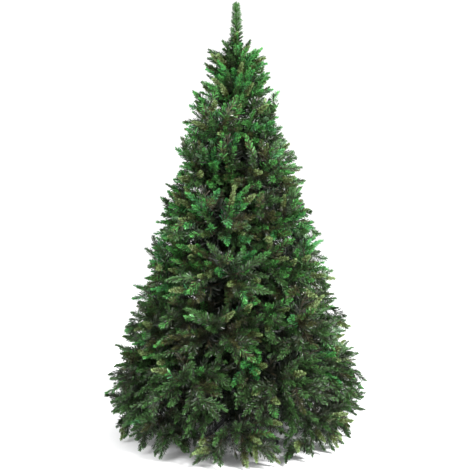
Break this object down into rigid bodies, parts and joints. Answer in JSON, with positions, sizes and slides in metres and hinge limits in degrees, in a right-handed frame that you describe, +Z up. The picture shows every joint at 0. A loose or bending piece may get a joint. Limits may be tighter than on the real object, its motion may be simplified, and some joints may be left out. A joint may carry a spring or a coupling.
{
  "type": "artificial christmas tree",
  "caption": "Undecorated artificial fir tree: a conical crown of wired needle branches in rings round a sectional steel pole, on a low folding-leg stand.",
  "frame": {"origin": "on the floor, under the middle of the pole, at the middle of the four feet", "axes": "+Z up the pole, -Y towards the picture's camera, +X to its right"},
  "size_m": [1.1056, 1.1056, 1.8],
  "materials": {
    "pvc_needles": "semi-matt cut plastic film",
    "brown_wire": "matt",
    "green_painted_steel": "satin",
    "black_painted_steel": "satin",
    "black_plastic": "matt"
  },
  "bodies": {
    "root": {"bough_1": "brown_wire", "bough_2": "brown_wire", "bough_3": "brown_wire", "bough_4": "brown_wire", "bough_5": "brown_wire", "bough_6": "brown_wire", "bough_7": "brown_wire", "bough_8": "brown_wire", "foliage_1_1": "pvc_needles", "foliage_1_2": "pvc_needles", "foliage_1_3": "pvc_needles", "foliage_1_4": "pvc_needles", "foliage_1_5": "pvc_needles", "foliage_1_6": "pvc_needles", "foliage_1_7": "pvc_needles", "foliage_1_8": "pvc_needles", "foliage_2_1": "pvc_needles", "foliage_2_2": "pvc_needles", "foliage_2_3": "pvc_needles", "foliage_2_4": "pvc_needles", "foliage_2_5": "pvc_needles", "foliage_2_6": "pvc_needles", "foliage_2_7": "pvc_needles", "foliage_3_1": "pvc_needles", "foliage_3_2": "pvc_needles", "foliage_3_3": "pvc_needles", "foliage_3_4": "pvc_needles", "foliage_3_5": "pvc_needles", "foliage_3_6": "pvc_needles", "foliage_4_1": "pvc_needles", "foliage_4_2": "pvc_needles", "foliage_4_3": "pvc_needles", "foliage_4_4": "pvc_needles", "foliage_4_5": "pvc_needles", "foliage_5_1": "pvc_needles", "foliage_5_2": "pvc_needles", "foliage_5_3": "pvc_needles", "foliage_5_4": "pvc_needles", "foliage_6_1": "pvc_needles", "foliage_6_2": "pvc_needles", "foliage_6_3": "pvc_needles", "foliage_7_1": "pvc_needles", "foliage_7_2": "pvc_needles", "foliage_7_3": "pvc_needles", "foliage_top": "pvc_needles", "pole_lower": "green_painted_steel", "pole_middle": "green_painted_steel", "pole_upper": "green_painted_steel", "stand_foot_1": "black_plastic", "stand_foot_2": "black_plastic", "stand_foot_3": "black_plastic", "stand_foot_4": "black_plastic", "stand_leg_1": "black_painted_steel", "stand_leg_2": "black_painted_steel", "stand_leg_3": "black_painted_steel", "stand_leg_4": "black_painted_steel", "stand_screw_1": "black_painted_steel", "stand_screw_2": "black_painted_steel", "stand_screw_3": "black_painted_steel", "stand_sleeve": "black_painted_steel"}
  },
  "joints": []
}
